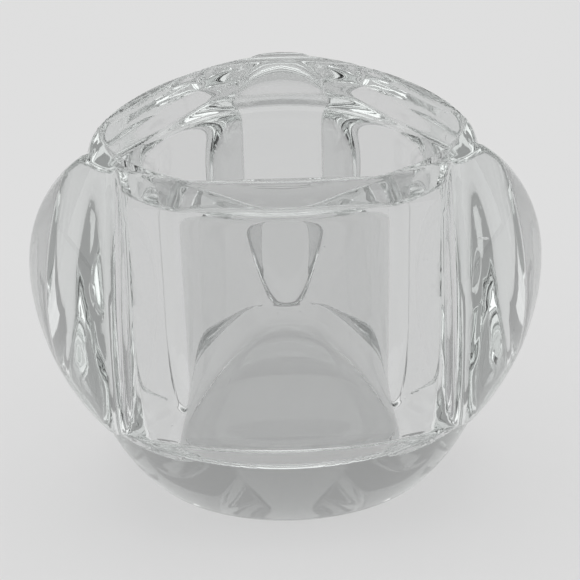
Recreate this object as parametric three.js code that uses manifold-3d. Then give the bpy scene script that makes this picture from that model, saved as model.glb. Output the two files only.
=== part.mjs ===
// Glass votive holder: one thick pressed-glass cup with a three-lobed body.
// Three wide, gently bowed windows are sunk into a ball, which leaves three bulging lobes between them.
// Below them a round bowl carries the body down to a flat foot.
// Inside the thin rim a shelf leads over into a round candle cup with three leaning flats in its lower half.
// Millimetres, +Z up. The origin is the middle of the foot, on the table. One window faces -Y.

import * as THREE from 'three';
import { mergeVertices } from 'three/addons/utils/BufferGeometryUtils.js';
import Module from 'manifold-3d';

const wasm = await Module();
wasm.setup();

// Overall sizes
const HEIGHT = 75;
const SIDES = 3;

// Base bowl: a slice of a sphere between the foot and the ring under the windows
const BOWL_RADIUS = 42.4;
const BOWL_CENTRE_HEIGHT = 30.2;
const RING_HEIGHT = 18.4;

// Lobes: parts of one ball, with a sloping shoulder up to the rim
const BALL_RADIUS = 52.5;
const BALL_CENTRE_HEIGHT = 45.4;
const LOBE_OVERHANG = 1.8;
const SHOULDER_REACH = 39.7;
const SHOULDER_SLOPE = THREE.MathUtils.degToRad(25);

// Windows: bowed panels sunk between the lobes, with straight flanks
const WINDOW_HALF_WIDTH = 30.6;
const WINDOW_DISTANCE = 34.8;
const WINDOW_BOW = 69.4;

// Mouth: a thin rim wall that follows the windows, rounded at the corners, down to a shelf
const RIM_WALL = 1.9;
const MOUTH_CORNER_RADIUS = 37.8;
const CORNER_BLEND = 3.2;
const MOUTH_DRAFT = 0.02;
const SHELF_DEPTH = 7.5;
const SHELF_FILLET = 2;

// Candle cup: round, with three flats that lean inward in its lower half, down to a flat floor
// The flats' planes are given by their distance from the axis at the shelf and by their lean
const CUP_RADIUS = 27.5;
const CUP_DRAFT = 0.015;
const FLAT_DISTANCE = 34.3;
const FLAT_LEAN = 0.3;
const CUP_LIP_ROUND = 4;
const FLOOR_THICKNESS = 13;
const FLOOR_FILLET = 4;

// Fineness of the facets
const ROUND_SEGMENTS = 96;
const CURVE_SEGMENTS = 14;
const FILLET_STEPS = 6;
const WALL_STEPS = 10;

const LOBE_FOOT = RING_HEIGHT - LOBE_OVERHANG;
const SECTOR = (2 * Math.PI) / SIDES;
const CUT_CLEARANCE = 1;
const SHELF_HEIGHT = HEIGHT - SHELF_DEPTH;
const FAR = 2 * BALL_RADIUS;

// A closed three.js geometry as a solid that can be joined and cut
function solidOf(geometry) {
  const bare = geometry.index ? geometry.clone() : geometry;
  bare.deleteAttribute('normal');
  bare.deleteAttribute('uv');
  const merged = mergeVertices(bare, 1e-4);
  return new wasm.Manifold(new wasm.Mesh({
    numProp: 3,
    vertProperties: new Float32Array(merged.attributes.position.array),
    triVerts: new Uint32Array(merged.index.array),
  }));
}

// A solid back as a three.js geometry
function geometryOf(solid) {
  const mesh = solid.getMesh();
  const geometry = new THREE.BufferGeometry();
  geometry.setAttribute('position', new THREE.BufferAttribute(new Float32Array(mesh.vertProperties), 3));
  geometry.setIndex(new THREE.BufferAttribute(new Uint32Array(mesh.triVerts), 1));
  geometry.computeVertexNormals();
  return geometry;
}

// A closed skin through a stack of rings, all with the same number of points, capped at both ends
function loft(rings) {
  const count = rings[0].length;
  const points = rings.flat();
  const index = [];
  for (let level = 0; level < rings.length - 1; level += 1) {
    for (let i = 0; i < count; i += 1) {
      const next = (i + 1) % count;
      const low = level * count;
      const high = low + count;
      index.push(low + i, low + next, high + next, low + i, high + next, high + i);
    }
  }
  const top = (rings.length - 1) * count;
  for (let i = 1; i < count - 1; i += 1) {
    index.push(0, i + 1, i);
    index.push(top, top + i, top + i + 1);
  }
  const geometry = new THREE.BufferGeometry().setFromPoints(points);
  geometry.setIndex(index);
  return geometry;
}

// A turned solid about +Z from a profile of distances from the axis and heights
function turned(profile) {
  const geometry = new THREE.LatheGeometry(profile, ROUND_SEGMENTS);
  geometry.rotateX(Math.PI / 2);
  return solidOf(geometry);
}

// The ball before its windows are sunk, cut level at the lobes' feet and at the rim, with its shoulder
function ballBody() {
  const arc = new THREE.EllipseCurve(0, BALL_CENTRE_HEIGHT, BALL_RADIUS, BALL_RADIUS, -Math.PI / 2, Math.PI / 2);
  const ballProfile = arc.getPoints(3 * CURVE_SEGMENTS);
  ballProfile[0].x = 0;
  ballProfile[ballProfile.length - 1].x = 0;
  const edge = BALL_RADIUS + CUT_CLEARANCE;
  const shoulder = [
    new THREE.Vector2(0, LOBE_FOOT),
    new THREE.Vector2(edge, LOBE_FOOT),
    new THREE.Vector2(edge, HEIGHT - (edge - SHOULDER_REACH) * Math.tan(SHOULDER_SLOPE)),
    new THREE.Vector2(SHOULDER_REACH, HEIGHT),
    new THREE.Vector2(0, HEIGHT),
  ];
  return turned(ballProfile).intersect(turned(shoulder));
}

// The space in front of one window: its bowed face, two straight flanks and an open front
function windowSpace(turn) {
  const half = Math.asin(WINDOW_HALF_WIDTH / WINDOW_BOW);
  const bowCentre = WINDOW_BOW - WINDOW_DISTANCE;
  const edge = WINDOW_BOW * Math.cos(half) - bowCentre;
  const shape = new THREE.Shape();
  shape.moveTo(-WINDOW_HALF_WIDTH, -FAR);
  shape.lineTo(WINDOW_HALF_WIDTH, -FAR);
  shape.lineTo(WINDOW_HALF_WIDTH, -edge);
  shape.absarc(0, bowCentre, WINDOW_BOW, -Math.PI / 2 + half, -Math.PI / 2 - half, true);
  const geometry = new THREE.ExtrudeGeometry(shape, {
    depth: HEIGHT - LOBE_FOOT + 2 * CUT_CLEARANCE,
    bevelEnabled: false,
    curveSegments: 2 * CURVE_SEGMENTS,
  });
  geometry.translate(0, 0, LOBE_FOOT - CUT_CLEARANCE);
  geometry.rotateZ(turn);
  return solidOf(geometry);
}

// The round bowl from the flat foot up to the ring
function baseBowl() {
  const footAngle = Math.asin(-BOWL_CENTRE_HEIGHT / BOWL_RADIUS);
  const ringAngle = Math.asin((RING_HEIGHT - BOWL_CENTRE_HEIGHT) / BOWL_RADIUS);
  const arc = new THREE.EllipseCurve(0, BOWL_CENTRE_HEIGHT, BOWL_RADIUS, BOWL_RADIUS, footAngle, ringAngle);
  const profile = [
    new THREE.Vector2(0, 0),
    ...arc.getPoints(CURVE_SEGMENTS),
    new THREE.Vector2(0, RING_HEIGHT),
  ];
  profile[1].y = 0;
  return turned(profile);
}

// The nearer of a side and a corner, with a soft change from one to the other
function blended(side, corner) {
  const near = Math.max(CORNER_BLEND - Math.abs(side - corner), 0) / CORNER_BLEND;
  return Math.min(side, corner) - (near * near * CORNER_BLEND) / 4;
}

// Distance from the axis to the rim's inner wall, at a turn from the middle of a side and a depth below the rim
function mouthRadius(turn, depth, inset) {
  const bowCentre = WINDOW_BOW - WINDOW_DISTANCE;
  const bow = WINDOW_BOW - RIM_WALL - MOUTH_DRAFT * depth - inset;
  const side = Math.sqrt(bow * bow - (bowCentre * Math.sin(turn)) ** 2) - bowCentre * Math.cos(turn);
  return blended(side, MOUTH_CORNER_RADIUS - MOUTH_DRAFT * depth - inset);
}

// Distance from the axis to the cup's wall, at a turn and a depth below the shelf, moved in by an inset
function cupRadius(turn, depth, inset) {
  const flat = (FLAT_DISTANCE - FLAT_LEAN * depth - inset) / Math.cos(turn);
  return blended(flat, CUP_RADIUS - CUP_DRAFT * depth - inset);
}

// One level ring of a hollow with threefold symmetry, whose depths are taken from its top
function hollowRing(radiusAt, top, height, inset) {
  const ring = [];
  for (let i = 0; i < ROUND_SEGMENTS; i += 1) {
    const angle = (2 * Math.PI * i) / ROUND_SEGMENTS;
    const turn = Math.abs(((angle + SECTOR / 2) % SECTOR) - SECTOR / 2);
    const radius = radiusAt(turn, top - height, inset);
    ring.push(new THREE.Vector3(radius * Math.sin(angle), -radius * Math.cos(angle), height));
  }
  return ring;
}

// Rings of a rounded floor edge, from the floor up to where the wall starts
function filletRings(radiusAt, top, floor, fillet) {
  const rings = [];
  for (let step = 0; step < FILLET_STEPS; step += 1) {
    const angle = (Math.PI / 2) * (step / FILLET_STEPS);
    const height = floor + fillet * (1 - Math.cos(angle));
    rings.push(hollowRing(radiusAt, top, height, fillet * (1 - Math.sin(angle))));
  }
  return rings;
}

// The mouth: a filleted shelf, then the rim's inner wall up past the rim
function mouthSpace() {
  const rings = filletRings(mouthRadius, HEIGHT, SHELF_HEIGHT, SHELF_FILLET);
  rings.push(hollowRing(mouthRadius, HEIGHT, SHELF_HEIGHT + SHELF_FILLET, 0));
  rings.push(hollowRing(mouthRadius, HEIGHT, HEIGHT + CUT_CLEARANCE, 0));
  return solidOf(loft(rings));
}

// The candle cup: a filleted floor, the wall with its flats, and a lip rounded over onto the shelf
function cupSpace() {
  const room = FLAT_DISTANCE - FLAT_LEAN * (SHELF_HEIGHT - FLOOR_THICKNESS);
  const fillet = Math.min(FLOOR_FILLET, 0.7 * room);
  const wallStart = FLOOR_THICKNESS + fillet;
  const wallEnd = SHELF_HEIGHT - CUP_LIP_ROUND;
  const rings = filletRings(cupRadius, SHELF_HEIGHT, FLOOR_THICKNESS, fillet);
  for (let step = 0; step < WALL_STEPS; step += 1) {
    const height = wallStart + (wallEnd - wallStart) * (step / WALL_STEPS);
    rings.push(hollowRing(cupRadius, SHELF_HEIGHT, height, 0));
  }
  for (let step = 0; step <= FILLET_STEPS; step += 1) {
    const angle = (Math.PI / 2) * (step / FILLET_STEPS);
    const height = wallEnd + CUP_LIP_ROUND * Math.sin(angle);
    rings.push(hollowRing(cupRadius, SHELF_HEIGHT, height, CUP_LIP_ROUND * (Math.cos(angle) - 1)));
  }
  rings.push(hollowRing(cupRadius, SHELF_HEIGHT, SHELF_HEIGHT + SHELF_FILLET, -CUP_LIP_ROUND));
  return solidOf(loft(rings));
}

function glassBody() {
  let body = ballBody();
  for (let side = 0; side < SIDES; side += 1) {
    body = body.subtract(windowSpace(side * SECTOR));
  }
  return body.add(baseBowl()).subtract(mouthSpace()).subtract(cupSpace());
}

const clearGlass = new THREE.MeshStandardMaterial({
  name: 'clear_glass',
  color: 0xe4ebe6,
  roughness: 0.04,
  metalness: 0,
  transparent: true,
  opacity: 0.35,
});

const holder = new THREE.Group();
holder.name = 'votive_holder';
const glass = new THREE.Mesh(geometryOf(glassBody()), clearGlass);
glass.name = 'glass_body';
holder.add(glass);

export default holder;
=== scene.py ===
"""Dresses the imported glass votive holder: its glass, the seeds in the glass, and the stage."""

import math

import bpy
from bpy.props import FloatProperty, FloatVectorProperty, IntProperty, PointerProperty
from mathutils import Matrix, Vector


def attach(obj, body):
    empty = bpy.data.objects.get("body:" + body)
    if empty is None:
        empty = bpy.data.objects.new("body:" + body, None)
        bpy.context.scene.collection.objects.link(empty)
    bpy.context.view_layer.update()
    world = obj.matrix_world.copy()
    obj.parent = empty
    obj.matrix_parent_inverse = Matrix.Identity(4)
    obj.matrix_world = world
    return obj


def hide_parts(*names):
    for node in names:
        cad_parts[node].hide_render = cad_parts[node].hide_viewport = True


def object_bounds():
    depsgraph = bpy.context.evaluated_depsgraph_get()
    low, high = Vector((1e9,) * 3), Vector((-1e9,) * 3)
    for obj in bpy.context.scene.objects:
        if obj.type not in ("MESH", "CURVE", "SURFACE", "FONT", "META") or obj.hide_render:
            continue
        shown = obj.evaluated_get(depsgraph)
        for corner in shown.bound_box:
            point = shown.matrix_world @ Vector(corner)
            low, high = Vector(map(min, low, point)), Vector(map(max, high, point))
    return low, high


bl_info = {
    "name": "Glass votive holder",
    "version": (1, 0, 0),
    "blender": (4, 5, 0),
    "location": "3D View > Sidebar > Votive",
    "description": "Builds a thick pressed-glass votive holder around its packed frame",
    "category": "Add Mesh",
}

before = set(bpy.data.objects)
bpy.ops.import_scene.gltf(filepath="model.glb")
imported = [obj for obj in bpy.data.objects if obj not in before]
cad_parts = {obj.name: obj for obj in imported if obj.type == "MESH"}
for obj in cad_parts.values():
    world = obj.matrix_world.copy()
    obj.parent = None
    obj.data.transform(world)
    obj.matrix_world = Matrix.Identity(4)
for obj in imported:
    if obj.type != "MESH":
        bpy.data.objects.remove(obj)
CAD_LOW, CAD_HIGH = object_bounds()
CAD_NODE = "glass_body"

# Photograph: its side and the rim's middle in pixels, and the metres that a pixel covers there
PHOTO_SIDE = 580
RIM_SPOT = (286.0, 119.5)
PIXEL = 0.0002

# Camera: its sensor in millimetres, and how often light may bounce on its way there
SENSOR_WIDTH = 36
GLASS_BOUNCES = 24
GLOSSY_BOUNCES = 12

# Room: the lamps' places and side, and the floor's half side, gap under the foot and roughness
LEFT_PLACE = (-1.0, -0.1, 0.6)
RIGHT_PLACE = (1.0, -0.1, 0.6)
OVERHEAD_PLACE = (0.0, 0.3, 1.0)
LAMP_SIDE = 1.2
FLOOR_HALF = 3.0
FLOOR_GAP = 0.0002
FLOOR_ROUGHNESS = 0.9

# Glass: its refraction, its ripple, and its haze with the noise levels where that starts and is full
GLASS_INDEX = 1.5
RIPPLE_SCALE = 70.0
RIPPLE_DEPTH = 0.002
HAZE_SCALE = 160.0
HAZE_START = 0.58
HAZE_FULL = 0.8
HAZE_ROUGHNESS = 0.05

# Skin: mesh steps left around the body, and the rounds that pull the skin onto the true shape
MARGIN_STEPS = 3
PULLS = 4

# Slope of the distance: how far off it is probed, and the least that a pull divides by
PROBE = 0.00005
LEAST_STEEPNESS = 0.05

# Directions in plan from the axis through each window
THIRD = 2 * math.pi / 3
WINDOW_DIRECTIONS = [(math.sin(i * THIRD), -math.cos(i * THIRD)) for i in range(3)]


def length(name, description, default):
    return FloatProperty(name=name, description=description, default=default, unit="LENGTH", precision=4)


def factor(name, description, default):
    return FloatProperty(name=name, description=description, default=default, subtype="FACTOR")


def watts(name, description, default):
    return FloatProperty(name=name, description=description, default=default, unit="POWER")


def angle(name, description, degrees):
    return FloatProperty(name=name, description=description, default=math.radians(degrees), subtype="ANGLE")


def colour(name, description, default):
    return FloatVectorProperty(name=name, description=description, default=default, subtype="COLOR")


class VotiveShape(bpy.types.PropertyGroup):
    """Sizes of the glass body."""

    height: length("Height", "Foot to rim", CAD_HIGH.z)
    bowl_radius: length("Bowl radius", "Sphere that the base bowl is cut from", 0.0424)
    bowl_centre: length("Bowl centre", "Height of that sphere's centre", 0.0302)
    ring_height: length("Ring height", "Top of the bowl, under the windows", 0.0184)
    lobe_foot: length("Lobe foot", "Height at which the lobes end", 0.0166)
    ball_radius: length("Ball radius", "Sphere that the lobes are parts of", 0.0527)
    ball_centre: length("Ball centre", "Height of that sphere's centre", 0.0487)
    crown_height: length("Crown height", "Height of the flattened crown above that centre", 0.0455)
    window_distance: length("Window distance", "Axis to the middle of a window at the rim", 0.0342)
    window_lean: length("Window lean", "How far a window steps out below the rim", 0.0016)
    lean_depth: length("Lean depth", "Height over which it steps out", 0.0072)
    window_bow: length("Window bow", "Radius of a window's bow in plan", 0.0694)
    window_half: length("Window half width", "Middle of a window to its flank", 0.0308)
    mouth_side: length("Mouth side", "Axis to a flat side of the mouth at the rim", 0.0317)
    mouth_radius: length("Mouth radius", "Radius of the mouth's round corners at the rim", 0.036)
    mouth_curve: length("Mouth curve", "Rounding between the mouth's flat sides and round corners", 0.002)
    shelf_height: length("Shelf height", "Height of the shelf inside the rim", 0.0675)
    shelf_fillet: length("Shelf fillet", "Rounding between the rim's wall and the shelf", 0.0012)
    shelf_round: length("Shelf rounding", "Rounding from the shelf over into the cup", 0.005)
    cup_side: length("Cup side", "Axis to a flat side of the cup, level with the shelf", 0.0343)
    cup_radius: length("Cup radius", "Radius of the cup's round wall, level with the shelf", 0.0275)
    cup_floor: length("Cup floor", "Height of the cup's floor", 0.013)
    cup_curve: length("Cup curve", "Rounding between the cup's flat sides and round wall", 0.003)
    flat_curve: length("Flat curve", "Rounding of the cup's flat sides into its floor", 0.004)
    floor_fillet: length("Floor fillet", "Rounding between the cup's floor and round wall", 0.004)
    edge_round: length("Edge rounding", "Fire-polished rounding of the outer edges", 0.0011)
    lobe_round: length("Lobe rounding", "Soft rounding of the lobes' edges", 0.01)
    foot_round: length("Foot rounding", "Rounding of the bowl into the foot", 0.002)
    rim_round: length("Rim rounding", "Fire-polished rounding of the rim", 0.0009)
    cup_lean: factor("Cup lean", "Inward slope of the cup's flat sides going down", 0.3)
    cup_draft: factor("Cup draft", "Inward slope of the cup's round wall going down", 0.015)
    mouth_lean: factor("Mouth lean", "Inward slope of the mouth's flat sides going down", 0.28)
    mouth_draft: factor("Mouth draft", "Inward slope of the mouth's round corners going down", 0.02)
    mesh_step: length("Mesh step", "Edge length of the mesh", 0.00066)


class VotiveFinish(bpy.types.PropertyGroup):
    """Look of the glass."""

    tint: colour("Tint", "Colour that deep glass lets through", (0.84, 1.0, 0.92))
    # Grey base colour of the glass: painted shade that dims everything seen through the glass
    surface: colour("Surface", "Colour of the glass surface", (0.82, 0.823, 0.823))
    ripple: factor("Ripple", "Strength of the pressing ripple", 0.02)
    seeds: IntProperty(name="Seeds", description="Rough number of seeds in the glass", default=70, min=0)
    seed_size: length("Seed size", "Radius of the largest seed", 0.00022)
    seed_least: factor("Least seed", "Lowest draw for a seed, squared to its share of that size", 0.35)
    seed_shallow: length("Shallow seeds", "Least depth of a seed under the skin", 0.0004)
    seed_deep: length("Deep seeds", "Greatest depth of a seed under the skin", 0.0009)


class VotiveStage(bpy.types.PropertyGroup):
    """Floor, light and camera."""

    floor: colour("Floor", "Colour of the floor", (0.62, 0.62, 0.62))
    backdrop: colour("Backdrop", "White that the floor shows to the eye", (0.93, 0.93, 0.93))
    floor_glow: factor("Floor glow", "Share of that white in the floor", 0.55)
    sky: colour("Sky", "Colour of the room around", (0.36, 0.36, 0.36))
    softbox: watts("Softbox", "Power of each side light", 2.6)
    overhead: watts("Overhead", "Power of the top light", 4.5)
    view_elevation: angle("View elevation", "Camera above the rim's middle", 20)
    view_distance: length("View distance", "Camera to the rim's middle", 0.52)
    view_roll: angle("View roll", "Lean of the camera", 1.5)


class Term:
    """A node socket that takes part in Python expressions, adding the nodes they need."""

    def __init__(self, sheet, socket):
        self.sheet = sheet
        self.socket = socket

    def __add__(self, other):
        return self.sheet.math("ADD", self, other)

    def __radd__(self, other):
        return self.sheet.math("ADD", other, self)

    def __sub__(self, other):
        return self.sheet.math("SUBTRACT", self, other)

    def __rsub__(self, other):
        return self.sheet.math("SUBTRACT", other, self)

    def __mul__(self, other):
        return self.sheet.math("MULTIPLY", self, other)

    def __rmul__(self, other):
        return self.sheet.math("MULTIPLY", other, self)

    def __truediv__(self, other):
        return self.sheet.math("DIVIDE", self, other)

    def __rtruediv__(self, other):
        return self.sheet.math("DIVIDE", other, self)

    def __neg__(self):
        return self.sheet.math("SUBTRACT", 0.0, self)


class Sheet:
    """A node tree that is being drawn up."""

    def __init__(self, tree):
        self.tree = tree

    def node(self, kind, settings=None, sockets=None):
        """One node: its settings come first, then the values or links of its sockets."""
        made = self.tree.nodes.new(kind)
        for name, value in (settings or {}).items():
            setattr(made, name, value)
        for key, value in (sockets or {}).items():
            if isinstance(value, Term):
                self.join(value, made, key)
            else:
                made.inputs[key].default_value = value
        return made

    def term(self, kind, settings=None, sockets=None, out=0):
        return Term(self, self.node(kind, settings, sockets).outputs[out])

    def math(self, operation, *values):
        return self.term("ShaderNodeMath", {"operation": operation}, dict(enumerate(values)))

    def vector(self, operation, *values, out=0):
        return self.term("ShaderNodeVectorMath", {"operation": operation}, dict(enumerate(values)), out)

    def scaled(self, vector, scale):
        return self.term("ShaderNodeVectorMath", {"operation": "SCALE"}, {0: vector, "Scale": scale})

    def join(self, term, node, key):
        self.tree.links.new(term.socket, node.inputs[key])

    def hypot(self, a, b):
        return self.math("SQRT", a * a + b * b)

    def round_max(self, a, b, rounding):
        return self.math("SMOOTH_MAX", a, b, rounding)

    def round_min(self, a, b, rounding):
        return self.math("SMOOTH_MIN", a, b, rounding)

    def fillet_max(self, a, b, radius):
        """What two shapes share, with a true quarter-round where they meet."""
        past_a = self.math("MAXIMUM", a + radius, 0.0)
        past_b = self.math("MAXIMUM", b + radius, 0.0)
        return self.hypot(past_a, past_b) - radius


def size_names():
    return list(VotiveShape.__annotations__)


def declare_sizes(tree, shape):
    """Named inputs of a tree, one for each size."""
    for name in size_names():
        socket = tree.interface.new_socket(name, in_out="INPUT", socket_type="NodeSocketFloat")
        socket.default_value = getattr(shape, name)


def glass_distance(shape):
    """A node group: how far a point lies outside the glass, negative inside it."""
    tree = bpy.data.node_groups.new("Glass distance", "GeometryNodeTree")
    tree.interface.new_socket("Point", in_out="INPUT", socket_type="NodeSocketVector")
    declare_sizes(tree, shape)
    tree.interface.new_socket("Distance", in_out="OUTPUT", socket_type="NodeSocketFloat")
    sheet = Sheet(tree)
    given = sheet.node("NodeGroupInput").outputs
    size = {name: Term(sheet, given[name]) for name in size_names()}
    apart = sheet.node("ShaderNodeSeparateXYZ", sockets={0: Term(sheet, given["Point"])}).outputs
    x, y, z = (Term(sheet, socket) for socket in apart)

    # Plan position seen from the nearest window: u straight out through it, v along it
    outs = [x * dx + y * dy for dx, dy in WINDOW_DIRECTIONS]
    u = sheet.math("MAXIMUM", sheet.math("MAXIMUM", outs[0], outs[1]), outs[2])
    around = x * x + y * y
    v_squared = sheet.math("MAXIMUM", around - u * u, 0.0)
    v = sheet.math("SQRT", v_squared)
    radius = sheet.math("SQRT", around)
    above_rim = z - size["height"]

    # Lobes: parts of one ball with a flattened crown
    ball_height = z - size["ball_centre"]
    flattening = size["ball_radius"] / size["crown_height"]
    ball_height = sheet.math("MAXIMUM", ball_height * flattening, ball_height)
    ball = sheet.hypot(radius, ball_height) - size["ball_radius"]
    lobes = sheet.round_max(ball, size["lobe_foot"] - z, size["edge_round"])

    # Windows: bowed panels sunk between straight flanks
    bow_centre = size["window_bow"] - size["window_distance"]
    from_bow = u + bow_centre
    bow_reach = sheet.math("SQRT", from_bow * from_bow + v_squared)
    below_rim = {"Value": -above_rim, "From Max": size["lean_depth"]}
    stepped = sheet.term("ShaderNodeMapRange", {"interpolation_type": "SMOOTHSTEP"}, below_rim)
    panel = bow_reach - size["window_bow"] - stepped * size["window_lean"]
    window = sheet.round_max(-panel, v - size["window_half"], size["edge_round"])
    body = sheet.round_max(lobes, -window, size["lobe_round"])

    # Base bowl, rim and foot
    bowl_height = z - size["bowl_centre"]
    bowl = sheet.math("SQRT", around + bowl_height * bowl_height) - size["bowl_radius"]
    bowl = sheet.round_max(bowl, z - size["ring_height"], size["edge_round"])
    body = sheet.round_min(body, bowl, size["edge_round"])
    body = sheet.round_max(body, above_rim, size["rim_round"])
    body = sheet.round_max(body, -z, size["foot_round"])

    # Well: a wide mouth with a shelf, and below it a round cup with three flat sides
    mouth_flat = u - size["mouth_side"] - above_rim * size["mouth_lean"]
    mouth_round = radius - size["mouth_radius"] - above_rim * size["mouth_draft"]
    mouth = sheet.round_max(mouth_flat, mouth_round, size["mouth_curve"])
    depth = size["shelf_height"] - z
    mouth = sheet.round_max(mouth, depth, size["shelf_fillet"])
    cup_flat = u - size["cup_side"] + depth * size["cup_lean"]
    cup_flat = sheet.fillet_max(cup_flat, size["cup_floor"] - z, size["flat_curve"])
    cup_round = radius - size["cup_radius"] + depth * size["cup_draft"]
    cup_round = sheet.fillet_max(cup_round, size["cup_floor"] - z, size["floor_fillet"])
    cup = sheet.round_max(cup_flat, cup_round, size["cup_curve"])
    well = sheet.round_min(mouth, cup, size["shelf_round"])
    body = sheet.round_max(body, -well, size["rim_round"])
    sheet.node("NodeGroupOutput", sockets={"Distance": body})
    return tree


def glass_body_tree(shape, material):
    """A node tree that fills space with the glass distance and draws the skin where it is nought."""
    tree = bpy.data.node_groups.new("Glass body", "GeometryNodeTree")
    declare_sizes(tree, shape)
    tree.interface.new_socket("Geometry", in_out="OUTPUT", socket_type="NodeSocketGeometry")
    sheet = Sheet(tree)
    given = sheet.node("NodeGroupInput").outputs
    size = {name: Term(sheet, given[name]) for name in size_names()}
    group = glass_distance(shape)
    place = sheet.term("GeometryNodeInputPosition")

    def distance(point):
        return sheet.term("GeometryNodeGroup", {"node_tree": group}, {"Point": point, **size})

    def gradient(point):
        """Slope of the distance from four nearby points at the corners of a tetrahedron."""
        total = None
        for corner in ((1, -1, -1), (-1, -1, 1), (-1, 1, -1), (1, 1, 1)):
            value = distance(sheet.vector("ADD", point, [PROBE * c for c in corner])) / (4 * PROBE)
            part = sheet.scaled(corner, value)
            total = sheet.vector("ADD", total, part) if total else part
        return total

    # Block of space whose density falls from one inside the glass to nought outside it
    step = shape.mesh_step
    margin = MARGIN_STEPS * step
    low = CAD_LOW - Vector((margin,) * 3)
    high = CAD_HIGH + Vector((margin,) * 3)
    count = [round((b - a) / step) for a, b in zip(low, high)]
    density = 0.5 - distance(place) / (2 * margin)
    density = sheet.term("ShaderNodeClamp", None, {"Value": density})
    block = {"Density": density, "Min": low, "Max": high}
    block.update({f"Resolution {axis}": n for axis, n in zip("XYZ", count)})
    volume = sheet.term("GeometryNodeVolumeCube", None, block)
    skin = sheet.term("GeometryNodeVolumeToMesh", None, {"Volume": volume, "Threshold": 0.5})

    # Skin pulled onto the true shape, with its facing kept for the shading
    for _ in range(PULLS):
        slope = gradient(place)
        steep = sheet.vector("DOT_PRODUCT", slope, slope, out="Value")
        pull = -distance(place) / sheet.math("MAXIMUM", steep, LEAST_STEEPNESS)
        shift = sheet.scaled(slope, pull)
        skin = sheet.term("GeometryNodeSetPosition", None, {"Geometry": skin, "Offset": shift})
    facing = sheet.vector("NORMALIZE", gradient(place))
    kept = {"Geometry": skin, "Name": "glass_facing", "Value": facing}
    skin = sheet.term("GeometryNodeStoreNamedAttribute", {"data_type": "FLOAT_VECTOR"}, kept)
    skin = sheet.term("GeometryNodeSetShadeSmooth", None, {"Geometry": skin})
    skin = sheet.term("GeometryNodeRealizeInstances", None, {"Geometry": skin})
    skin = sheet.term("GeometryNodeSetMaterial", None, {"Geometry": skin, "Material": material})
    sheet.node("NodeGroupOutput", sockets={"Geometry": skin})
    return tree


def grown(context, name, tree, values, start=None):
    """A plain mesh object grown from a node tree, whose inputs are set before it is first looked at."""
    made = bpy.data.objects.new(name, start or bpy.data.meshes.new(name))
    modifier = made.modifiers.new("Growth", "NODES")
    modifier.node_group = tree
    for item in tree.interface.items_tree:
        if item.in_out == "INPUT" and item.name in values:
            modifier[item.identifier] = values[item.name]
    context.scene.collection.objects.link(made)
    mesh = bpy.data.meshes.new_from_object(made.evaluated_get(context.evaluated_depsgraph_get()))
    made.modifiers.clear()
    made.data = mesh
    mesh.name = name
    if not mesh.polygons:
        raise RuntimeError(f"{name} came out empty")
    return made


def new_material(name):
    """A material with only its output and a Principled shader, and the sheet to draw on."""
    material = bpy.data.materials.new(name)
    material.use_nodes = True
    sheet = Sheet(material.node_tree)
    return material, sheet, material.node_tree.nodes["Principled BSDF"]


def glass_material(finish):
    """Clear pressed glass: smooth, faintly rippled, with a faint green cast in its depth, and a grey
    surface colour that is painted shade.
    """
    material, sheet, shader = new_material("clear pressed glass")
    place = sheet.term("ShaderNodeTexCoord", out="Object")
    ripple = sheet.term("ShaderNodeTexNoise", None, {"Vector": place, "Scale": RIPPLE_SCALE, "Detail": 1.0})
    haze = sheet.term("ShaderNodeTexNoise", None, {"Vector": place, "Scale": HAZE_SCALE, "Detail": 4.0})
    bump = {"Strength": finish.ripple, "Distance": RIPPLE_DEPTH, "Height": ripple}
    facing = sheet.term("ShaderNodeBump", None, bump, out="Normal")
    patches = {"Value": haze, "From Min": HAZE_START, "From Max": HAZE_FULL, "To Max": HAZE_ROUGHNESS}
    smear = sheet.term("ShaderNodeMapRange", None, patches)
    # Painted shade: a grey base colour darkens the glass and all that is seen through it
    shader.inputs["Base Color"].default_value = (*finish.surface, 1)
    shader.inputs["IOR"].default_value = GLASS_INDEX
    shader.inputs["Transmission Weight"].default_value = 1.0
    sheet.join(facing, shader, "Normal")
    sheet.join(smear, shader, "Roughness")
    depth = sheet.term("ShaderNodeVolumeAbsorption", None, {"Color": (*finish.tint, 1), "Density": 1.0})
    sheet.join(depth, material.node_tree.nodes["Material Output"], "Volume")
    return material


def seed_material():
    """A bubble of air in the glass."""
    material, _, shader = new_material("air seed")
    shader.inputs["Base Color"].default_value = (1, 1, 1, 1)
    shader.inputs["Roughness"].default_value = 0.0
    shader.inputs["IOR"].default_value = 1 / GLASS_INDEX
    shader.inputs["Transmission Weight"].default_value = 1.0
    return material


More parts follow.
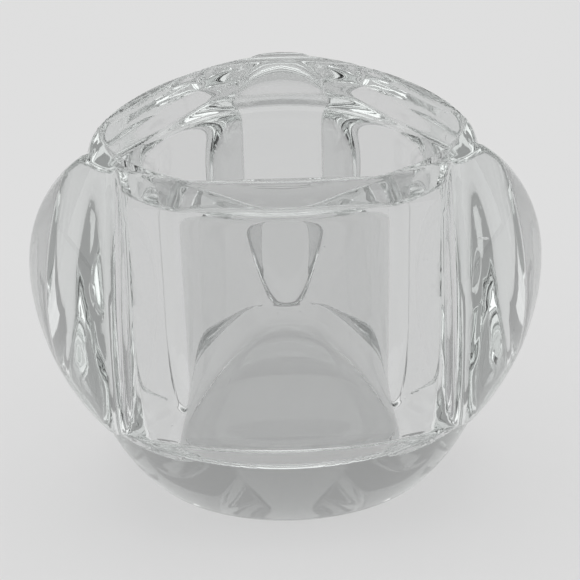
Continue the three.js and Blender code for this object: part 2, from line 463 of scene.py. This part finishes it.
def seed_tree(material):
    """A node tree that hangs small bubbles just under a skin."""
    tree = bpy.data.node_groups.new("Seeds", "GeometryNodeTree")
    tree.interface.new_socket("Geometry", in_out="INPUT", socket_type="NodeSocketGeometry")
    for name in ("Density", "Largest", "Least", "Shallow", "Deep"):
        tree.interface.new_socket(name, in_out="INPUT", socket_type="NodeSocketFloat")
    tree.interface.new_socket("Geometry", in_out="OUTPUT", socket_type="NodeSocketGeometry")
    sheet = Sheet(tree)
    given = sheet.node("NodeGroupInput").outputs
    skin, density, largest, least, shallow, deep = (Term(sheet, given[i]) for i in range(6))
    scatter = {"Mesh": skin, "Density": density, "Seed": 11}
    spots = sheet.node("GeometryNodeDistributePointsOnFaces", None, scatter)
    points = Term(sheet, spots.outputs["Points"])
    facing = Term(sheet, spots.outputs["Normal"])
    random_depth = sheet.term("FunctionNodeRandomValue", None, {2: shallow, 3: deep, "Seed": 5}, out=1)
    inward = sheet.scaled(facing, -random_depth)
    points = sheet.term("GeometryNodeSetPosition", None, {"Geometry": points, "Offset": inward})
    bubble = sheet.term("GeometryNodeMeshIcoSphere", None, {"Radius": 1.0, "Subdivisions": 2})
    chance = sheet.term("FunctionNodeRandomValue", None, {2: least, 3: 1.0, "Seed": 8}, out=1)
    scale = largest * chance * chance
    placed = {"Points": points, "Instance": bubble, "Scale": scale}
    bubbles = sheet.term("GeometryNodeInstanceOnPoints", None, placed)
    bubbles = sheet.term("GeometryNodeRealizeInstances", None, {"Geometry": bubbles})
    bubbles = sheet.term("GeometryNodeSetShadeSmooth", None, {"Geometry": bubbles})
    bubbles = sheet.term("GeometryNodeSetMaterial", None, {"Geometry": bubbles, "Material": material})
    sheet.node("NodeGroupOutput", sockets={"Geometry": bubbles})
    return tree


class VOTIVE_OT_glass_body(bpy.types.Operator):
    """Build the glass body in one smooth closed skin"""

    bl_idname = "votive.glass_body"
    bl_label = "Glass body"

    def execute(self, context):
        shape = context.scene.votive_shape
        material = glass_material(context.scene.votive_finish)
        sizes = {name: getattr(shape, name) for name in size_names()}
        glass = grown(context, "pressed_glass", glass_body_tree(shape, material), sizes)
        facing = glass.data.attributes["glass_facing"]
        values = [0.0] * (3 * len(glass.data.vertices))
        facing.data.foreach_get("vector", values)
        glass.data.attributes.remove(facing)
        normals = [values[i : i + 3] for i in range(0, len(values), 3)]
        glass.data.normals_split_custom_set_from_vertices(normals)
        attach(glass, "root")
        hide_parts(CAD_NODE)
        return {"FINISHED"}


class VOTIVE_OT_seeds(bpy.types.Operator):
    """Scatter small air seeds under the glass skin"""

    bl_idname = "votive.seeds"
    bl_label = "Seeds"

    def execute(self, context):
        finish = context.scene.votive_finish
        skin = bpy.data.objects["pressed_glass"].data
        area = sum(face.area for face in skin.polygons)
        values = {
            "Density": finish.seeds / area,
            "Largest": finish.seed_size,
            "Least": finish.seed_least,
            "Shallow": finish.seed_shallow,
            "Deep": finish.seed_deep,
        }
        seeds = grown(context, "air_seeds", seed_tree(seed_material()), values, skin.copy())
        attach(seeds, "root")
        return {"FINISHED"}


class VOTIVE_OT_stage(bpy.types.Operator):
    """Set the floor, the light and the camera"""

    bl_idname = "votive.stage"
    bl_label = "Stage"

    def execute(self, context):
        scene = context.scene
        stage = scene.votive_stage
        scene.view_settings.view_transform = "Standard"
        scene.cycles.max_bounces = GLASS_BOUNCES
        scene.cycles.transmission_bounces = GLASS_BOUNCES
        scene.cycles.glossy_bounces = GLOSSY_BOUNCES
        self.set_floor(scene, stage)
        self.set_light(scene, stage)
        self.set_camera(scene, stage)
        return {"FINISHED"}

    def set_floor(self, scene, stage):
        mesh = bpy.data.meshes.new("floor")
        half = FLOOR_HALF
        corners = [(-half, -half, 0), (half, -half, 0), (half, half, 0), (-half, half, 0)]
        mesh.from_pydata(corners, [], [(0, 1, 2, 3)])
        floor = bpy.data.objects.new("floor", mesh)
        floor.location.z = -FLOOR_GAP
        scene.collection.objects.link(floor)
        material, sheet, shader = new_material("pale floor")
        shader.inputs["Base Color"].default_value = (*stage.floor, 1)
        shader.inputs["Roughness"].default_value = FLOOR_ROUGHNESS
        path = sheet.node("ShaderNodeLightPath").outputs
        rays = ("Camera", "Glossy", "Transmission")
        camera, glossy, through = (Term(sheet, path[f"Is {ray} Ray"]) for ray in rays)
        share = sheet.math("MINIMUM", camera + glossy + through, 1.0) * stage.floor_glow
        glow = sheet.term("ShaderNodeEmission", None, {"Color": (*stage.backdrop, 1)})
        matt = Term(sheet, shader.outputs[0])
        mixed = sheet.term("ShaderNodeMixShader", None, {0: share, 1: matt, 2: glow})
        sheet.join(mixed, material.node_tree.nodes["Material Output"], "Surface")
        mesh.materials.append(material)

    def set_light(self, scene, stage):
        world = bpy.data.worlds.new("room")
        world.use_nodes = True
        world.node_tree.nodes["Background"].inputs["Color"].default_value = (*stage.sky, 1)
        scene.world = world
        for name, place, power in (
            ("left softbox", LEFT_PLACE, stage.softbox),
            ("right softbox", RIGHT_PLACE, stage.softbox),
            ("overhead", OVERHEAD_PLACE, stage.overhead),
        ):
            light = bpy.data.lights.new(name, "AREA")
            light.size = LAMP_SIDE
            light.energy = power
            lamp = bpy.data.objects.new(name, light)
            lamp.location = place
            lamp.rotation_euler = (-Vector(place)).to_track_quat("-Z", "Y").to_euler()
            scene.collection.objects.link(lamp)

    def set_camera(self, scene, stage):
        """Placed by the rim's middle, which the photograph shows at a known spot."""
        rim = Vector((0, 0, scene.votive_shape.height))
        pixels_away = stage.view_distance / PIXEL
        half = PHOTO_SIDE / 2
        elevation = stage.view_elevation
        down = elevation + math.atan((half - RIM_SPOT[1]) / pixels_away)
        yaw = math.atan((half - RIM_SPOT[0]) / pixels_away)
        camera = bpy.data.cameras.new("camera")
        camera.sensor_width = SENSOR_WIDTH
        camera.lens = SENSOR_WIDTH * pixels_away / PHOTO_SIDE
        eye = bpy.data.objects.new("camera", camera)
        eye.location = rim + Vector((0, -math.cos(elevation), math.sin(elevation))) * stage.view_distance
        ahead = Vector((math.sin(yaw) * math.cos(down), math.cos(yaw) * math.cos(down), -math.sin(down)))
        level = ahead.to_track_quat("-Z", "Y").to_matrix()
        eye.rotation_euler = (level @ Matrix.Rotation(-stage.view_roll, 3, "Z")).to_euler()
        scene.collection.objects.link(eye)
        scene.camera = eye


class VOTIVE_PT_panel(bpy.types.Panel):
    """Sidebar panel of the votive holder"""

    bl_idname = "VOTIVE_PT_panel"
    bl_label = "Glass votive holder"
    bl_space_type = "VIEW_3D"
    bl_region_type = "UI"
    bl_category = "Votive"

    def draw(self, context):
        for operator in OPERATORS:
            self.layout.operator(operator.bl_idname)
        for settings in GROUPS:
            box = self.layout.box()
            group = getattr(context.scene, settings)
            for name in group.__annotations__:
                box.prop(group, name)


OPERATORS = (VOTIVE_OT_glass_body, VOTIVE_OT_seeds, VOTIVE_OT_stage)
GROUPS = {"votive_shape": VotiveShape, "votive_finish": VotiveFinish, "votive_stage": VotiveStage}
CLASSES = (*GROUPS.values(), *OPERATORS, VOTIVE_PT_panel)


def register():
    for kind in CLASSES:
        bpy.utils.register_class(kind)
    for name, group in GROUPS.items():
        setattr(bpy.types.Scene, name, PointerProperty(type=group))


def unregister():
    for name in GROUPS:
        delattr(bpy.types.Scene, name)
    for kind in reversed(CLASSES):
        bpy.utils.unregister_class(kind)


def main():
    register()
    bpy.ops.votive.glass_body()
    bpy.ops.votive.seeds()
    bpy.ops.votive.stage()


if __name__ == "__main__":
    main()
